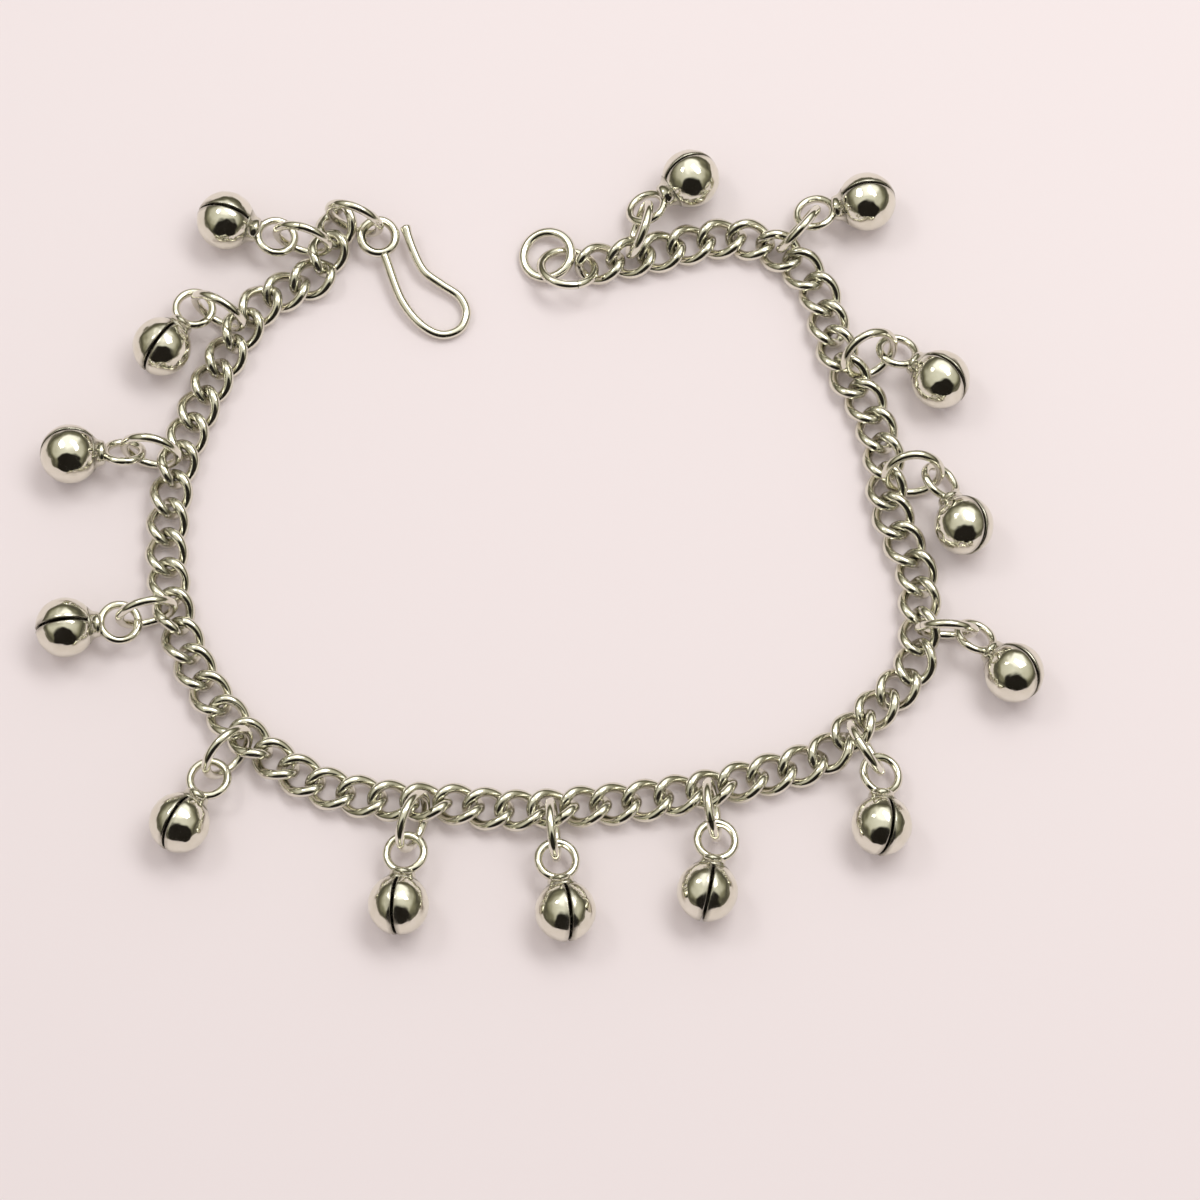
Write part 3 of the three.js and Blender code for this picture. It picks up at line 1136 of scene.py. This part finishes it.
@dataclass
class Studio:
    """A pale surface, soft light from above and a long lens looking steeply down."""

    surface: str = "F1E9E8"
    elevation: float = math.radians(73)
    distance: float = 0.5
    lens: float = 124.5
    aim: tuple[float, float] = (0.0, -5.7)

    def build(self, shift: Vector) -> None:
        """Builds the studio.

        Args:
            shift: From the chain's route to the frame, in mm.
        """
        self.lay_surface()
        self.light_surroundings()
        self.hang_lamp("window_right", (0.2, 0.2, 0.52), (0.42, 0.2), 1.2)
        self.hang_lamp("window_left", (-0.27, 0.2, 0.48), (0.14, 0.14), 0.3)
        target = Vector((self.aim[0] + shift.x, self.aim[1] + shift.y, 0.0)) * MM
        lens = bpy.data.cameras.new("long_lens")
        lens.lens = self.lens
        lens.sensor_width = 36.0
        lens.clip_start = 0.01
        camera = bpy.data.objects.new("camera", lens)
        bpy.context.scene.collection.objects.link(camera)
        look = Vector((0.0, math.cos(self.elevation), -math.sin(self.elevation)))
        camera.location = target - look * self.distance
        camera.rotation_euler = (math.pi / 2 - self.elevation, 0.0, 0.0)
        bpy.context.scene.camera = camera
        bpy.context.scene.view_settings.view_transform = "Standard"

    def lay_surface(self) -> None:
        """Lays the pale surface that the anklet rests on."""
        mesh = bpy.data.meshes.new("surface")
        half = 1.5
        corners = [(-half, -half, 0.0), (half, -half, 0.0), (half, half, 0.0), (-half, half, 0.0)]
        mesh.from_pydata(corners, [], [(0, 1, 2, 3)])
        paper = bpy.data.materials.new("matte_paper")
        paper.use_nodes = True
        shader = paper.node_tree.nodes["Principled BSDF"]
        shader.inputs["Base Color"].default_value = linear(self.surface)
        shader.inputs["Roughness"].default_value = 0.7
        mesh.materials.append(paper)
        surface = bpy.data.objects.new("surface", mesh)
        surface.location.z = CAD_BOX[0].z - 0.00002
        bpy.context.scene.collection.objects.link(surface)

    def light_surroundings(self) -> None:
        """Makes the room: pale walls and ceiling, and a dark part in front that the metal mirrors."""
        world = bpy.data.worlds.new("room")
        bpy.context.scene.world = world
        world.use_nodes = True
        tree = world.node_tree
        tree.nodes.clear()
        way = add_node(tree, "ShaderNodeTexCoord").outputs["Generated"]
        front = Vector((0.05, -0.86, 0.50)).normalized()
        facing = add_node(
            tree, "ShaderNodeVectorMath", {0: way, 1: front}, operation="DOT_PRODUCT"
        ).outputs["Value"]
        dark = add_node(
            tree,
            "ShaderNodeMapRange",
            {"Value": facing, "From Min": 0.66, "From Max": 0.79, "To Min": 0.0, "To Max": 1.0},
            interpolation_type="SMOOTHSTEP",
        ).outputs["Result"]
        behind = Vector((0.12, 0.52, 0.84)).normalized()
        lifting = add_node(
            tree, "ShaderNodeVectorMath", {0: way, 1: behind}, operation="DOT_PRODUCT"
        ).outputs["Value"]
        bright = add_node(
            tree,
            "ShaderNodeMapRange",
            {"Value": lifting, "From Min": 0.8, "From Max": 0.93, "To Min": 0.0, "To Max": 1.0},
            interpolation_type="SMOOTHSTEP",
        ).outputs["Result"]
        height = add_node(tree, "ShaderNodeSeparateXYZ", {0: way}).outputs["Z"]
        band = add_node(tree, "ShaderNodeValToRGB", {"Fac": height})
        ramp = band.color_ramp
        ramp.elements[0].position = 0.0
        ramp.elements[0].color = linear("6F6B5C")
        ramp.elements[1].position = 1.0
        ramp.elements[1].color = linear("CFCDBF")
        for position, colour in ((0.2, "434036"), (0.4, "76735F"), (0.6, "B3B0A0")):
            ramp.elements.new(position).color = linear(colour)
        lit = add_node(
            tree,
            "ShaderNodeMix",
            {MIX_FACTOR: bright, MIX_FIRST: band.outputs["Color"], MIX_SECOND: linear("FFFDF4")},
            data_type="RGBA",
        ).outputs[MIX_RESULT]
        room = add_node(
            tree,
            "ShaderNodeMix",
            {MIX_FACTOR: dark, MIX_FIRST: lit, MIX_SECOND: linear("1A1713")},
            data_type="RGBA",
        ).outputs[MIX_RESULT]
        mirrored = add_node(
            tree, "ShaderNodeBackground", {"Color": room, "Strength": 1.35}
        ).outputs[0]
        plain = add_node(
            tree, "ShaderNodeBackground", {"Color": linear(self.surface), "Strength": 0.75}
        ).outputs[0]
        rays = add_node(tree, "ShaderNodeLightPath").outputs["Is Glossy Ray"]
        mixed = add_node(tree, "ShaderNodeMixShader", {0: rays, 1: plain, 2: mirrored}).outputs[0]
        add_node(tree, "ShaderNodeOutputWorld", {"Surface": mixed})

    def hang_lamp(
        self, name: str, spot: tuple[float, float, float], size: tuple[float, float], power: float
    ) -> None:
        """Hangs one soft lamp that faces the anklet's middle.

        Args:
            name: The lamp's name.
            spot: Where it hangs, in metres.
            size: Its width and height, in metres.
            power: Its power, in watts.
        """
        lamp = bpy.data.lights.new(name, "AREA")
        lamp.shape = "RECTANGLE"
        lamp.size, lamp.size_y = size
        lamp.energy = power
        hung = bpy.data.objects.new(name, lamp)
        hung.location = spot
        hung.rotation_euler = (-Vector(spot)).to_track_quat("-Z", "Y").to_euler()
        bpy.context.scene.collection.objects.link(hung)


def main() -> None:
    """Builds the studio and each part of the anklet."""
    logging.basicConfig(level=logging.INFO, format="%(name)s: %(message)s")
    wire_silver = PolishedSilver("polished_silver_wire").material()
    sheet_silver = PolishedSilver(
        "polished_silver_sheet", roughness=0.05, dent_mm=1.5, dent_depth_mm=0.09
    ).material()
    rings = WireRings()
    chain = CurbChain()
    Studio().build(chain.shift)
    chain.build(wire_silver)
    jump = JumpRings(chain, rings)
    bells = JingleBell(rings)
    for number, charm in enumerate(CHARMS, start=1):
        ring = jump.place(Hanging(charm.link, charm.ring, charm.lean))
        seam_at = FIRST_SEAM + SEAM_STEP * number
        jump.build(f"charm_jump_ring_{number:02d}", ring, wire_silver, seam_at)
        bells.build(f"bell_{number:02d}", bells.place(charm, ring, jump), number, sheet_silver)
    WireHook(chain, rings).build(wire_silver)
    jump.build("hook_jump_ring", jump.place(HOOK_HANGING), wire_silver, HOOK_RING_SEAM)
    jump.build("end_jump_ring", jump.place(END_HANGING), wire_silver, END_RING_SEAM)
    EndRing(chain, rings).build(wire_silver)


if __name__ == "__main__":
    main()
